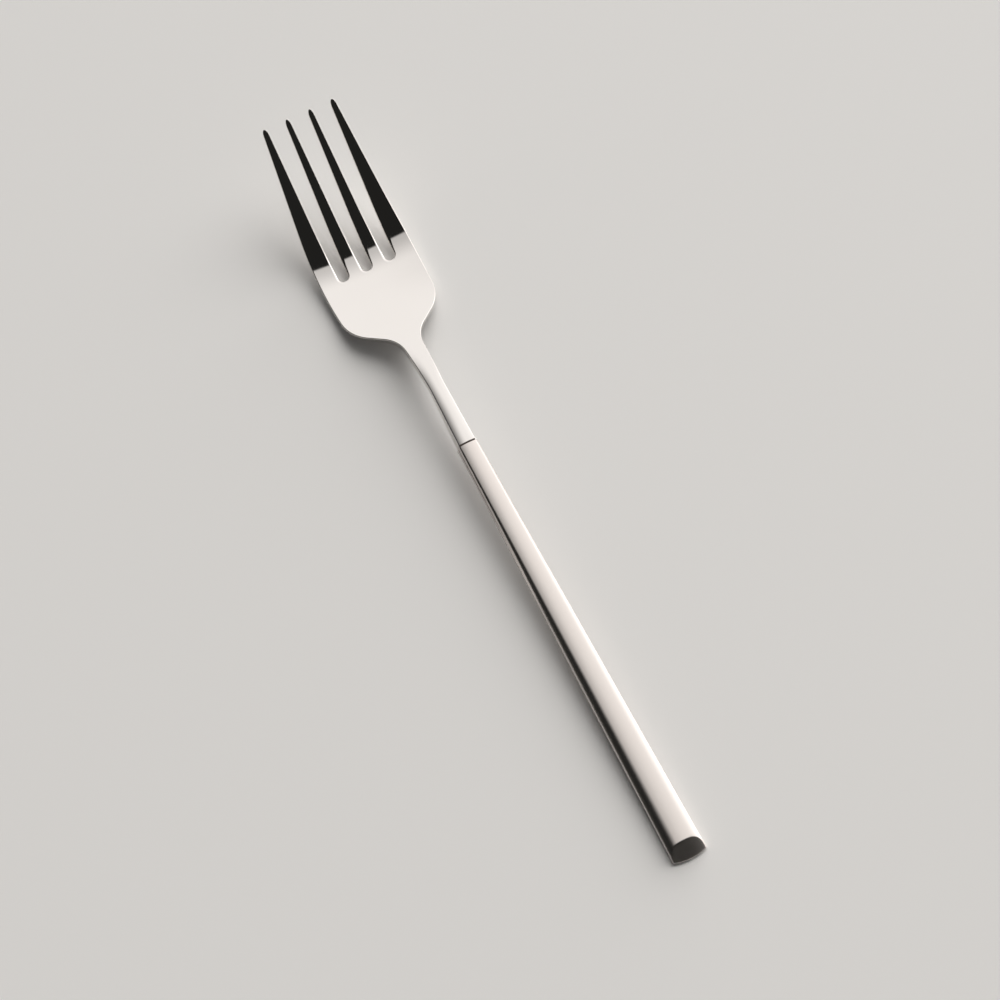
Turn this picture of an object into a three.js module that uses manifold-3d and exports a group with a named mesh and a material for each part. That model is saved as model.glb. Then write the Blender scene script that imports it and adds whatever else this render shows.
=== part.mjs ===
// Four-tined salad fork: a polished head whose tang is cemented into a hollow satin handle.
// Millimetres. +X is across the fork, +Y runs from the butt to the tines and +Z is up.
// The origin is the middle of the footprint, on the surface that the fork lies on.
import * as THREE from 'three';
import { mergeVertices } from 'three/addons/utils/BufferGeometryUtils.js';
import Module from 'manifold-3d';

// Lengths along the fork, each from the feature before it
const HANDLE_LENGTH = 100.2; // butt edge to the joint with the neck
const WAIST_FROM_JOINT = 14.45; // narrowest place of the neck
const CREST_FROM_JOINT = 17.45; // highest place of the neck
const NECK_LENGTH = 28.4; // joint to the corner between neck and shoulder
const SHOULDER_LENGTH = 6.55; // neck corner to the rear corner of the bowl
const BOWL_SIDE_LENGTH = 14.3; // rear corner of the bowl to where its sides turn in
const TINE_SIDE_LENGTH = 31.35; // from there to the tips
const HEEL_FROM_JOINT = 42.95; // lowest place of the bowl
const TINE_LENGTH = 32.85; // bottom of the slots to the tips, seen from above
const NOSE_LENGTH = 1.5; // rounded end of a tine

// Widths
const BUTT_WIDTH = 7.54; // foot of the arch at the butt
const JOINT_BASE_WIDTH = 4.7; // foot of the arch at the joint
const JOINT_TOP_WIDTH = 4.15; // top of the handle at the joint, between the sharp corners
const WAIST_WIDTH = 3.64; // top of the neck
const NECK_CORNER_WIDTH = 4.84;
const BOWL_REAR_WIDTH = 22.06; // between the sharp rear corners of the bowl
const BOWL_FRONT_WIDTH = 23.64; // between the sharp corners where the sides turn in
const SLOT_WIDTH = 2.3; // at the round bottom of a slot
const SLOT_PITCH = 5.67; // between the bottoms of neighbouring slots
const INNER_TIP_SPACING = 5.47; // between the tips of the two inner tines
const OUTER_TIP_SPACING = 16.36; // between the tips of the two outer tines
const INNER_NOSE_WIDTH = 1.35; // of an inner tine where its rounded end begins
const OUTER_NOSE_WIDTH = 1.45;

// Radii of the head's outline, seen from above
const WAIST_RADIUS = 60;
const NECK_RADIUS = 6.9;
const BOWL_REAR_RADIUS = 8.6;
const BOWL_FRONT_RADIUS = 130;

// Heights, thicknesses and curves of the head, seen from the side
const JOINT_TOP_HEIGHT = 6.4; // top of the joint above the table
const CREST_HEIGHT = 7.6; // top of the neck above the table
const HEEL_RADIUS = 33.7; // curve from the bowl up to the tines
const TINE_ANGLE = THREE.MathUtils.degToRad(33);
const JOINT_DEPTH = 2.7; // full height of the section at the joint
const NECK_THICKNESS = 2; // at the waist
const BOWL_THICKNESS = 1.6;
const RIM_THICKNESS = 1.3; // at the sides of the bowl
const TIP_THICKNESS = 1;
const BOWL_DISH = 0.35; // rise of the bowl's sides above its middle
const EDGE_CHAMFER = 0.3;

// Handle: an arch of sheet on a flat base, with rounded shoulders, a crowned top and a slanted end
const BUTT_HEIGHT = 3.3;
const BUTT_CROWN_RADIUS = 10;
const JOINT_CROWN_RADIUS = 8; // it carries on over the neck and fades out there
const BUTT_CORNER_RADIUS = 2.4; // between the side and the crown
const JOINT_CORNER_RADIUS = 0.5;
const END_SETBACK = 3.4; // how far the top of the slanted end lies in front of the butt edge
const END_RADIUS = 11.3; // of the slanted end and the butt edge, seen from above
const BASE_THICKNESS = 0.6;
const BASE_LEDGE = 0.15; // the base plate stands out this far past the arch
const SHELL_THICKNESS = 0.6;
const CAP_THICKNESS = 0.8;

// Tang, its seat, and the dark joint line
const TANG_LENGTH = 35;
const TANG_WIDTH = 1.5;
const TANG_THICKNESS = 0.8;
const TANG_HEIGHT = 1.35; // middle of the tang above the underside of the handle
const TANG_ROOT = 3; // how far the tang reaches into the neck
const FERRULE_LENGTH = 8;
const SEAM_WIDTH = 0.45;
const SEAM_DEPTH = 0.35;
const SEAM_RECESS = 0.05; // the joint line lies this far below the metal
const JOINT_GAP = 0.05; // between pieces that are brazed or cemented together

// Fineness of the faceted surfaces
const FILLET_STEPS = 8;
const NOSE_STEPS = 5;
const ACROSS_STEPS = 8;
const STRAIGHT_STEP = 2.2;
const SHOULDER_STEP = 0.8;
const HANDLE_SPANS = 6;
const CORNER_STEPS = 4;
const CROWN_STEPS = 5;
const BLADE_OVERRUN = 3; // the sheet reaches past the tips before the tines are cut out
const CUT_MARGIN = 6; // cutters reach this far past the metal
const SIDE_MARGIN = 1; // and this far past the sides of the handle
const SMALLEST_RADIUS = 0.25; // rounded corner inside the shell and round what fills it
const MERGE_TOLERANCE = 1e-4;

// Places along the fork, counted from the butt edge
const WAIST_Y = HANDLE_LENGTH + WAIST_FROM_JOINT;
const CREST_Y = HANDLE_LENGTH + CREST_FROM_JOINT;
const NECK_CORNER_Y = HANDLE_LENGTH + NECK_LENGTH;
const BOWL_REAR_Y = NECK_CORNER_Y + SHOULDER_LENGTH;
const BOWL_FRONT_Y = BOWL_REAR_Y + BOWL_SIDE_LENGTH;
const TIP_Y = BOWL_FRONT_Y + TINE_SIDE_LENGTH;
const HEEL_Y = HANDLE_LENGTH + HEEL_FROM_JOINT;
const SLOT_RADIUS = SLOT_WIDTH / 2;
const SLOT_CENTRE_Y = TIP_Y - TINE_LENGTH + SLOT_RADIUS;
const NOSE_Y = TIP_Y - NOSE_LENGTH;

const wasm = await Module();
wasm.setup();

// Straight-sided outline with each inner corner rounded to its own radius
function roundedLine(corners) {
  const points = [corners[0].at];
  for (let i = 1; i < corners.length - 1; i += 1) {
    const { at, radius } = corners[i];
    const back = corners[i - 1].at.clone().sub(at).normalize();
    const ahead = corners[i + 1].at.clone().sub(at).normalize();
    const halfAngle = Math.acos(back.dot(ahead)) / 2;
    const middle = back.clone().add(ahead).normalize();
    const centre = at.clone().addScaledVector(middle, radius / Math.sin(halfAngle));
    const start = at.clone().addScaledVector(back, radius / Math.tan(halfAngle)).sub(centre);
    const end = at.clone().addScaledVector(ahead, radius / Math.tan(halfAngle)).sub(centre);
    const sweep = Math.atan2(start.cross(end), start.dot(end));
    for (let k = 0; k <= FILLET_STEPS; k += 1) {
      points.push(start.clone().rotateAround(new THREE.Vector2(), (sweep * k) / FILLET_STEPS).add(centre));
    }
  }
  points.push(corners[corners.length - 1].at);
  return points;
}

// Value at y on a line of points whose y grows, carried on straight past its last point
function along(points, y) {
  let i = 1;
  while (i < points.length - 1 && points[i].y < y) i += 1;
  const share = (y - points[i - 1].y) / (points[i].y - points[i - 1].y);
  return THREE.MathUtils.lerp(points[i - 1].x, points[i].x, share);
}

// Half of the head's outline: width across against the place along the fork
const headOutline = roundedLine([
  { at: new THREE.Vector2(JOINT_TOP_WIDTH / 2, HANDLE_LENGTH) },
  { at: new THREE.Vector2(WAIST_WIDTH / 2, WAIST_Y), radius: WAIST_RADIUS },
  { at: new THREE.Vector2(NECK_CORNER_WIDTH / 2, NECK_CORNER_Y), radius: NECK_RADIUS },
  { at: new THREE.Vector2(BOWL_REAR_WIDTH / 2, BOWL_REAR_Y), radius: BOWL_REAR_RADIUS },
  { at: new THREE.Vector2(BOWL_FRONT_WIDTH / 2, BOWL_FRONT_Y), radius: BOWL_FRONT_RADIUS },
  { at: new THREE.Vector2((OUTER_TIP_SPACING + OUTER_NOSE_WIDTH) / 2, NOSE_Y) },
]);

// Thickness of the head against the place along the fork
const thicknessLine = [
  new THREE.Vector2(JOINT_DEPTH, HANDLE_LENGTH),
  new THREE.Vector2(NECK_THICKNESS, WAIST_Y),
  new THREE.Vector2(BOWL_THICKNESS, HEEL_Y),
  new THREE.Vector2(TIP_THICKNESS, TIP_Y),
];

// Height of the handle's underside: it lies on the table at the butt and rises to the joint
function baseHeight(y) {
  return ((JOINT_TOP_HEIGHT - JOINT_DEPTH) * y) / HANDLE_LENGTH;
}

// Height and slope of the head's upper face along its middle
function faceProfile(y) {
  if (y < CREST_Y) {
    const share = (y - HANDLE_LENGTH) / CREST_FROM_JOINT;
    const startSlope = (JOINT_TOP_HEIGHT - BUTT_HEIGHT) / HANDLE_LENGTH;
    const rise = CREST_HEIGHT - JOINT_TOP_HEIGHT;
    const run = startSlope * CREST_FROM_JOINT;
    const height = run * share + (3 * rise - 2 * run) * share ** 2 + (run - 2 * rise) * share ** 3;
    return { height: JOINT_TOP_HEIGHT + height, angle: 0 };
  }
  if (y < HEEL_Y) {
    const share = (y - CREST_Y) / (HEEL_Y - CREST_Y);
    const drop = CREST_HEIGHT - BOWL_THICKNESS;
    const slope = (-6 * drop * share * (1 - share)) / (HEEL_Y - CREST_Y);
    return { height: CREST_HEIGHT - drop * share ** 2 * (3 - 2 * share), angle: Math.atan(slope) };
  }
  const reach = y - HEEL_Y;
  const arcReach = HEEL_RADIUS * Math.sin(TINE_ANGLE);
  if (reach < arcReach) {
    const angle = Math.asin(reach / HEEL_RADIUS);
    return { height: BOWL_THICKNESS + HEEL_RADIUS * (1 - Math.cos(angle)), angle };
  }
  const arcRise = HEEL_RADIUS * (1 - Math.cos(TINE_ANGLE));
  return { height: BOWL_THICKNESS + arcRise + (reach - arcReach) * Math.tan(TINE_ANGLE), angle: TINE_ANGLE };
}

// How far the bowl's form has come in at y: none at the neck, full in the bowl, none at the tips
function bowlShare(y) {
  const rising = THREE.MathUtils.smoothstep(y, NECK_CORNER_Y, HEEL_Y);
  const falling = THREE.MathUtils.clamp((TIP_Y - y) / (TIP_Y - HEEL_Y), 0, 1);
  return rising * falling;
}

// Lid of a ring whose first point sees all the others
function fanLid(count) {
  return Array.from({ length: count - 2 }, (_, k) => [0, k + 1, k + 2]);
}

// Lid of a ring that folds back on itself, as rungs between its first and its last points
function ladderLid(count) {
  const faces = [];
  for (let k = 0; 2 * k < count - 2; k += 1) {
    const back = count - 1 - k;
    faces.push([k, k + 1, back], [k + 1, back - 1, back]);
  }
  return faces;
}

// Closed solid through rings of equally many points; each ring runs anticlockwise seen from the butt
function loft(rings, lidOf) {
  const count = rings[0].length;
  const positions = rings.flat().flatMap((point) => point.toArray());
  const last = (rings.length - 1) * count;
  const index = lidOf(count).flatMap(([a, b, c]) => [a, b, c, last + c, last + b, last + a]);
  for (let i = 0; i < rings.length - 1; i += 1) {
    for (let k = 0; k < count; k += 1) {
      const here = i * count + k;
      const next = i * count + ((k + 1) % count);
      index.push(here, here + count, next, next, here + count, next + count);
    }
  }
  const geometry = new THREE.BufferGeometry();
  geometry.setAttribute('position', new THREE.Float32BufferAttribute(positions, 3));
  geometry.setIndex(index);
  return geometry;
}

function toSolid(geometry) {
  const plain = geometry.clone();
  plain.deleteAttribute('normal');
  plain.deleteAttribute('uv');
  const merged = mergeVertices(plain, MERGE_TOLERANCE);
  const vertProperties = new Float32Array(merged.attributes.position.array);
  const triVerts = new Uint32Array(merged.index.array);
  return new wasm.Manifold(new wasm.Mesh({ numProp: 3, vertProperties, triVerts }));
}

function toGeometry(solid) {
  const { vertProperties, triVerts } = solid.getMesh();
  const geometry = new THREE.BufferGeometry();
  geometry.setAttribute('position', new THREE.BufferAttribute(vertProperties, 3));
  geometry.setIndex(new THREE.BufferAttribute(triVerts, 1));
  return geometry;
}

// Drop of the crowned top from its middle line at the joint and over the neck
function crownDrop(x) {
  return x ** 2 / (2 * JOINT_CROWN_RADIUS);
}

// Place of step k between one side and the other
function across(halfWidth, k) {
  return halfWidth * ((2 * k) / ACROSS_STEPS - 1);
}

// Strip across the joint whose upper and lower faces keep to the crown, each at its own depth below it
function seamStrip(fromY, toY, halfWidth, upperDepth, lowerDepth) {
  const place = (x, y, depth) => new THREE.Vector3(x, y, baseHeight(y) + JOINT_DEPTH - crownDrop(x) - depth);
  const ring = (y) => {
    const points = [];
    for (let k = 0; k <= ACROSS_STEPS; k += 1) points.push(place(across(halfWidth, k), y, lowerDepth));
    for (let k = ACROSS_STEPS; k >= 0; k -= 1) points.push(place(across(halfWidth, k), y, upperDepth));
    return points;
  };
  return loft([ring(fromY), ring(toY)], ladderLid);
}

// Straight tang that follows the slope of the handle, larger all round by the clearance
function tangBar(clearance) {
  const half = TANG_WIDTH / 2 + clearance;
  const low = TANG_HEIGHT - TANG_THICKNESS / 2 - clearance;
  const high = TANG_HEIGHT + TANG_THICKNESS / 2 + clearance;
  const ring = (y) => [
    new THREE.Vector3(-half, y, baseHeight(y) + low),
    new THREE.Vector3(half, y, baseHeight(y) + low),
    new THREE.Vector3(half, y, baseHeight(y) + high),
    new THREE.Vector3(-half, y, baseHeight(y) + high),
  ];
  return loft([ring(HANDLE_LENGTH - TANG_LENGTH - clearance), ring(HANDLE_LENGTH + TANG_ROOT)], fanLid);
}

// One section of the pressed head: the upper face, a chamfer each side, and the underside
function headRing(y) {
  const half = along(headOutline, y);
  const thickness = along(thicknessLine, Math.min(y, TIP_Y));
  const { height, angle } = faceProfile(y);
  const flareShare = THREE.MathUtils.clamp((WAIST_Y - y) / WAIST_FROM_JOINT, 0, 1);
  const flare = ((JOINT_BASE_WIDTH - JOINT_TOP_WIDTH) / 2) * flareShare;
  const crownShare = 1 - THREE.MathUtils.smoothstep(y, WAIST_Y, NECK_CORNER_Y);
  const dished = (x) => bowlShare(y) * ((2 * x) / BOWL_FRONT_WIDTH) ** 2;
  const place = (x, depth) => {
    const surface = height + BOWL_DISH * dished(x);
    return new THREE.Vector3(x, y, surface - depth / Math.cos(angle));
  };
  const upper = (x, depth) => place(x, depth + crownShare * crownDrop(x));
  const underside = (x) => place(x, thickness - (BOWL_THICKNESS - RIM_THICKNESS) * dished(x));
  const ring = [];
  for (let k = 0; k <= ACROSS_STEPS; k += 1) ring.push(underside(across(half + flare, k)));
  ring.push(upper(half, EDGE_CHAMFER));
  for (let k = ACROSS_STEPS; k >= 0; k -= 1) ring.push(upper(across(half - EDGE_CHAMFER, k), 0));
  ring.push(upper(-half, EDGE_CHAMFER));
  return ring;
}

// Places of the head's sections: close together round the shoulder, wider elsewhere
function headStations() {
  const stations = [];
  const addSpan = (from, to, step) => {
    const count = Math.ceil((to - from) / step);
    for (let k = 0; k < count; k += 1) stations.push(THREE.MathUtils.lerp(from, to, k / count));
  };
  addSpan(HANDLE_LENGTH, WAIST_Y, STRAIGHT_STEP);
  addSpan(WAIST_Y, NECK_CORNER_Y - NECK_RADIUS, STRAIGHT_STEP);
  addSpan(NECK_CORNER_Y - NECK_RADIUS, BOWL_REAR_Y + NECK_RADIUS, SHOULDER_STEP);
  addSpan(BOWL_REAR_Y + NECK_RADIUS, TIP_Y + BLADE_OVERRUN, STRAIGHT_STEP);
  stations.push(TIP_Y + BLADE_OVERRUN);
  return stations;
}

// Everything between and beyond the tines, as one upright cutter
function tineCutter() {
  const tips = [-OUTER_TIP_SPACING, -INNER_TIP_SPACING, INNER_TIP_SPACING, OUTER_TIP_SPACING];
  const noses = [OUTER_NOSE_WIDTH, INNER_NOSE_WIDTH, INNER_NOSE_WIDTH, OUTER_NOSE_WIDTH];
  const side = BOWL_FRONT_WIDTH / 2 + CUT_MARGIN;
  const shape = new THREE.Shape();
  shape.moveTo(-side, NOSE_Y);
  tips.forEach((tip, i) => {
    shape.absellipse(tip / 2, NOSE_Y, noses[i] / 2, NOSE_LENGTH, Math.PI, 0, true);
    if (i < tips.length - 1) {
      const slotX = (i - 1) * SLOT_PITCH;
      shape.absarc(slotX, SLOT_CENTRE_Y, SLOT_RADIUS, Math.PI, 2 * Math.PI, false);
    }
  });
  shape.lineTo(side, NOSE_Y);
  shape.lineTo(side, TIP_Y + BLADE_OVERRUN + CUT_MARGIN);
  shape.lineTo(-side, TIP_Y + BLADE_OVERRUN + CUT_MARGIN);
  const top = faceProfile(TIP_Y + BLADE_OVERRUN).height + CUT_MARGIN;
  const cutter = new THREE.ExtrudeGeometry(shape, {
    depth: top + CUT_MARGIN,
    bevelEnabled: false,
    curveSegments: 2 * NOSE_STEPS,
  });
  return cutter.translate(0, 0, -CUT_MARGIN);
}

// Tines, bowl and neck pressed from one blank, with the tang behind the shoulder
function forkHead() {
  const blade = toSolid(loft(headStations().map(headRing), ladderLid));
  const seamGroove = seamStrip(
    HANDLE_LENGTH - CUT_MARGIN,
    HANDLE_LENGTH + SEAM_WIDTH,
    JOINT_BASE_WIDTH,
    -CUT_MARGIN,
    SEAM_DEPTH,
  );
  const head = blade.subtract(toSolid(tineCutter())).subtract(toSolid(seamGroove));
  return toGeometry(head.add(toSolid(tangBar(0))));
}

// The two ends of the handle's arch
const BUTT_ARCH = {
  baseWidth: BUTT_WIDTH,
  topWidth: BUTT_WIDTH,
  height: BUTT_HEIGHT,
  cornerRadius: BUTT_CORNER_RADIUS,
  crownRadius: BUTT_CROWN_RADIUS,
};
const JOINT_ARCH = {
  baseWidth: JOINT_BASE_WIDTH,
  topWidth: JOINT_TOP_WIDTH,
  height: JOINT_DEPTH,
  cornerRadius: JOINT_CORNER_RADIUS,
  crownRadius: JOINT_CROWN_RADIUS,
};

// Right half of an arch, moved inwards: the side, the rounded corner, then the crown up to its middle
function archHalf({ baseWidth, topWidth, height, cornerRadius, crownRadius }, inset) {
  const lean = Math.atan((baseWidth - topWidth) / (2 * height));
  const side = (baseWidth / 2) * Math.cos(lean) - inset;
  const corner = Math.max(cornerRadius - inset, SMALLEST_RADIUS);
  const crown = crownRadius - inset;
  const crownCentre = new THREE.Vector2(0, height - crownRadius);
  const turn = Math.asin((side - corner - crownCentre.y * Math.sin(lean)) / (crown - corner)) - lean;
  const onCircle = (centre, radius, angle) => new THREE.Vector2(
    centre.x + radius * Math.sin(angle),
    centre.y + radius * Math.cos(angle),
  );
  const cornerCentre = onCircle(crownCentre, crown - corner, turn);
  const points = [new THREE.Vector2((side - ARCH_FLOOR * Math.sin(lean)) / Math.cos(lean), ARCH_FLOOR)];
  for (let k = 0; k <= CORNER_STEPS; k += 1) {
    const angle = THREE.MathUtils.lerp(Math.PI / 2 - lean, turn, k / CORNER_STEPS);
    points.push(onCircle(cornerCentre, corner, angle));
  }
  for (let k = 1; k <= CROWN_STEPS; k += 1) {
    points.push(onCircle(crownCentre, crown, turn * (1 - k / CROWN_STEPS)));
  }
  return points;
}

// Arch of the handle from its right foot over the top to its left foot, in one upright section
function archAt(y, inset) {
  const joint = archHalf(JOINT_ARCH, inset);
  const right = archHalf(BUTT_ARCH, inset).map((atButt, i) => {
    const flat = atButt.lerp(joint[i], y / HANDLE_LENGTH);
    return new THREE.Vector3(flat.x, y, baseHeight(y) + flat.y);
  });
  const left = right.slice(0, -1).reverse().map((point) => new THREE.Vector3(-point.x, point.y, point.z));
  return right.concat(left);
}

// Ring of a piece that fills an arch: the middle of its base first, then the arch itself
function filledArch(y, inset) {
  const arch = archAt(y, inset);
  const middle = arch[0].clone().lerp(arch[arch.length - 1], 0.5);
  return [middle, ...arch];
}

// Places of the handle's sections from the butt edge to the given end
function handleStations(end) {
  return Array.from({ length: HANDLE_SPANS + 1 }, (_, k) => (end * k) / HANDLE_SPANS);
}

// Everything behind the butt's round edge, moved forward; it leans forward by so much for each height
function endCutter(forward, lean) {
  const side = BUTT_WIDTH / 2 + SIDE_MARGIN;
  const sweep = Math.asin(side / END_RADIUS);
  const shape = new THREE.Shape();
  shape.moveTo(-side, -CUT_MARGIN);
  shape.lineTo(side, -CUT_MARGIN);
  shape.absarc(0, END_RADIUS, END_RADIUS, sweep - Math.PI / 2, -sweep - Math.PI / 2, true);
  const cutter = new THREE.ExtrudeGeometry(shape, {
    depth: BUTT_HEIGHT + 2 * CUT_MARGIN,
    bevelEnabled: false,
    curveSegments: FILLET_STEPS,
  });
  cutter.translate(0, forward, -CUT_MARGIN - BASE_THICKNESS);
  cutter.applyMatrix4(new THREE.Matrix4().makeShear(0, 0, 0, 0, 0, lean));
  return toSolid(cutter.translate(0, 0, BASE_THICKNESS));
}

const ARCH_FLOOR = BASE_THICKNESS + JOINT_GAP;
const CORE_INSET = SHELL_THICKNESS + JOINT_GAP;
const SHELL_FRONT_Y = HANDLE_LENGTH - JOINT_GAP;
const END_LEAN = (END_SETBACK - BASE_LEDGE) / (BUTT_HEIGHT - BASE_THICKNESS);
const behindInside = endCutter(BASE_LEDGE + CAP_THICKNESS + JOINT_GAP, END_LEAN);

// Pressed arch of sheet: open below, at the joint and at the slanted end
function handleTopShell() {
  const rings = handleStations(SHELL_FRONT_Y).map((y) => {
    const inner = archAt(y, SHELL_THICKNESS).reverse();
    return archAt(y, 0).concat(inner);
  });
  return toGeometry(toSolid(loft(rings, ladderLid)).subtract(behindInside));
}

// Flat strip that closes the underside and stands out past the arch as a narrow ledge
function handleBasePlate() {
  const ring = (y, half) => [
    new THREE.Vector3(-half, y, baseHeight(y)),
    new THREE.Vector3(half, y, baseHeight(y)),
    new THREE.Vector3(half, y, baseHeight(y) + BASE_THICKNESS),
    new THREE.Vector3(-half, y, baseHeight(y) + BASE_THICKNESS),
  ];
  const buttHalf = BUTT_WIDTH / 2 + BASE_LEDGE;
  const jointHalf = JOINT_BASE_WIDTH / 2 + BASE_LEDGE;
  const strip = loft([ring(0, buttHalf), ring(SHELL_FRONT_Y, jointHalf)], fanLid);
  return toGeometry(toSolid(strip).subtract(endCutter(0, 0)));
}

// Slanted plate that closes the butt above the base plate
function handleEndCap() {
  const front = END_SETBACK + CUT_MARGIN;
  const block = loft([filledArch(0, 0), filledArch(front, 0)], fanLid);
  const behind = toSolid(block).intersect(endCutter(BASE_LEDGE + CAP_THICKNESS, END_LEAN));
  return toGeometry(behind.subtract(endCutter(BASE_LEDGE, END_LEAN)));
}

const FERRULE_REAR_Y = SHELL_FRONT_Y - FERRULE_LENGTH;

// Plug in the mouth of the shell, with a slot that centres the tang
function handleFrontFerrule() {
  const block = loft([filledArch(FERRULE_REAR_Y, CORE_INSET), filledArch(SHELL_FRONT_Y, CORE_INSET)], fanLid);
  return toGeometry(toSolid(block).subtract(toSolid(tangBar(JOINT_GAP))));
}

// Set cement that fills the shell behind the ferrule and grips the tang
function handleFiller() {
  const rings = handleStations(FERRULE_REAR_Y - JOINT_GAP).map((y) => filledArch(y, CORE_INSET));
  const core = toSolid(loft(rings, fanLid)).subtract(behindInside);
  return toGeometry(core.subtract(toSolid(tangBar(JOINT_GAP))));
}

// Dark line of filler in the groove across the top of the joint
function seamBead() {
  return seamStrip(
    HANDLE_LENGTH,
    HANDLE_LENGTH + SEAM_WIDTH - JOINT_GAP,
    JOINT_TOP_WIDTH / 2 - EDGE_CHAMFER,
    SEAM_RECESS,
    SEAM_DEPTH - JOINT_GAP,
  );
}

const polishedSteel = new THREE.MeshStandardMaterial({ color: 0xd8d4d1, roughness: 0.05, metalness: 1 });
const satinSteel = new THREE.MeshStandardMaterial({ color: 0xcdc5bf, roughness: 0.35, metalness: 1 });
const cement = new THREE.MeshStandardMaterial({ color: 0xb9b3a6, roughness: 0.9, metalness: 0 });
const darkFiller = new THREE.MeshStandardMaterial({ color: 0x3a2a24, roughness: 0.6, metalness: 0 });

function piece(name, geometry, material) {
  geometry.computeVertexNormals();
  const mesh = new THREE.Mesh(geometry, material);
  mesh.name = name;
  return mesh;
}

const assembly = new THREE.Group();
assembly.position.y = -TIP_Y / 2;
assembly.add(
  piece('fork_head', forkHead(), polishedSteel),
  piece('handle_top_shell', handleTopShell(), satinSteel),
  piece('handle_base_plate', handleBasePlate(), satinSteel),
  piece('handle_end_cap', handleEndCap(), satinSteel),
  piece('handle_front_ferrule', handleFrontFerrule(), polishedSteel),
  piece('handle_filler', handleFiller(), cement),
  piece('seam_bead', seamBead(), darkFiller),
);

const fork = new THREE.Group();
fork.add(assembly);

export default fork;
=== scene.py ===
"""Looks of the salad fork: fine meshes, metal finishes, floor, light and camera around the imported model.

Sizes are millimetres in the part's own frame: +X across the fork, +Y from the butt to the tines, +Z up.
"""
import math

import bpy
import numpy as np
from mathutils import Matrix, Vector
from mathutils.geometry import delaunay_2d_cdt


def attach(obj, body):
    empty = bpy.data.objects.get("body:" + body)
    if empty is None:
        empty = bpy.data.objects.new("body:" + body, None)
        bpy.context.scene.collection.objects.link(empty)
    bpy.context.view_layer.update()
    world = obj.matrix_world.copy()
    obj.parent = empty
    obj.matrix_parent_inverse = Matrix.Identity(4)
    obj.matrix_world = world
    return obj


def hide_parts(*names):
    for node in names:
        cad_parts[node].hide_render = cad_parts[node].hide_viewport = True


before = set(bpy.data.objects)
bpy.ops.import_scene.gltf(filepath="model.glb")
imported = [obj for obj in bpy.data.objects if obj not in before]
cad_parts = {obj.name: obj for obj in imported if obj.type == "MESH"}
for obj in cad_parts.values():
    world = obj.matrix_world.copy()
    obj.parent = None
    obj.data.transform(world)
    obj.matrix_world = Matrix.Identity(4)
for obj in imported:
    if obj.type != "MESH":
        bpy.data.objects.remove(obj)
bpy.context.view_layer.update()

MM = 0.001

# Lengths along the fork, each from the feature before it
HANDLE_LENGTH = 100.2
WAIST_FROM_JOINT = 14.45
CREST_FROM_JOINT = 17.45
NECK_LENGTH = 28.4
SHOULDER_LENGTH = 6.55
BOWL_SIDE_LENGTH = 14.3
TINE_SIDE_LENGTH = 31.35
HEEL_FROM_JOINT = 42.95
TINE_LENGTH = 32.85
NOSE_LENGTH = 1.5

# Widths and radii seen from above
BUTT_WIDTH = 7.54
JOINT_BASE_WIDTH = 4.7
JOINT_TOP_WIDTH = 4.15
WAIST_WIDTH = 3.64
NECK_CORNER_WIDTH = 4.84
BOWL_REAR_WIDTH = 22.06
BOWL_FRONT_WIDTH = 23.64
SLOT_WIDTH = 2.3
SLOT_PITCH = 5.67
INNER_TIP_SPACING = 5.47
OUTER_TIP_SPACING = 16.36
INNER_NOSE_WIDTH = 1.35
OUTER_NOSE_WIDTH = 1.45
WAIST_RADIUS = 60
NECK_RADIUS = 6.9
BOWL_REAR_RADIUS = 8.6
BOWL_FRONT_RADIUS = 130

# Heights and thicknesses seen from the side
JOINT_TOP_HEIGHT = 6.4
CREST_HEIGHT = 7.6
HEEL_RADIUS = 33.7
TINE_ANGLE = math.radians(33)
JOINT_DEPTH = 2.7
NECK_THICKNESS = 2
BOWL_THICKNESS = 1.6
RIM_THICKNESS = 1.3
TIP_THICKNESS = 1
BOWL_DISH = 0.35

# Handle, tang and joint line
BUTT_HEIGHT = 3.3
BUTT_CROWN_RADIUS = 10
JOINT_CROWN_RADIUS = 8
BUTT_CORNER_RADIUS = 2.4
JOINT_CORNER_RADIUS = 0.5
END_SETBACK = 3.4
END_RADIUS = 11.3
BASE_THICKNESS = 0.6
BASE_LEDGE = 0.15
SHELL_THICKNESS = 0.6
CAP_THICKNESS = 0.8
TANG_LENGTH = 35
TANG_WIDTH = 1.5
TANG_THICKNESS = 0.8
TANG_HEIGHT = 1.35
SEAM_WIDTH = 0.4
SEAM_DEPTH = 0.3
SEAM_RISE = 0.015  # the joint line stands proud by this much, so that it covers the metal

# Rounded edges: width seen from above, and drop
EDGE_WIDTH = 0.28
EDGE_DROP = 0.35
SLOT_EDGE_WIDTH = 0.65  # polished softer at the roots of the tines
SLOT_EDGE_REACH = 9  # along the tines, to where the slots' edges are as narrow as the others
SLOT_EDGE_PEAK = 4.5  # where the right edges of the slots are softest; the left ones are so at the bottom
TIP_EDGE_WIDTH = 0.16
BOTTOM_EDGE_RADIUS = 0.25
LEDGE_EDGE_RADIUS = 0.1
END_EDGE_REACH = 0.3  # rounded edge round the slanted end
SMALLEST_RADIUS = 0.06
EDGE_STEEPNESS = 2  # a narrow edge drops by no more than this many times its width

# Shading of the satin handle, softer than its shape
BUTT_FLATNESS = 0.5  # the arch shades as if it were this much as high
JOINT_FLATNESS = 0.85
SIDE_TILT = math.radians(38)  # and near the butt as if its sides leaned inwards by this much
SIDE_TILT_FADE = (58, 90)  # places along the handle between which the lean goes

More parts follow.
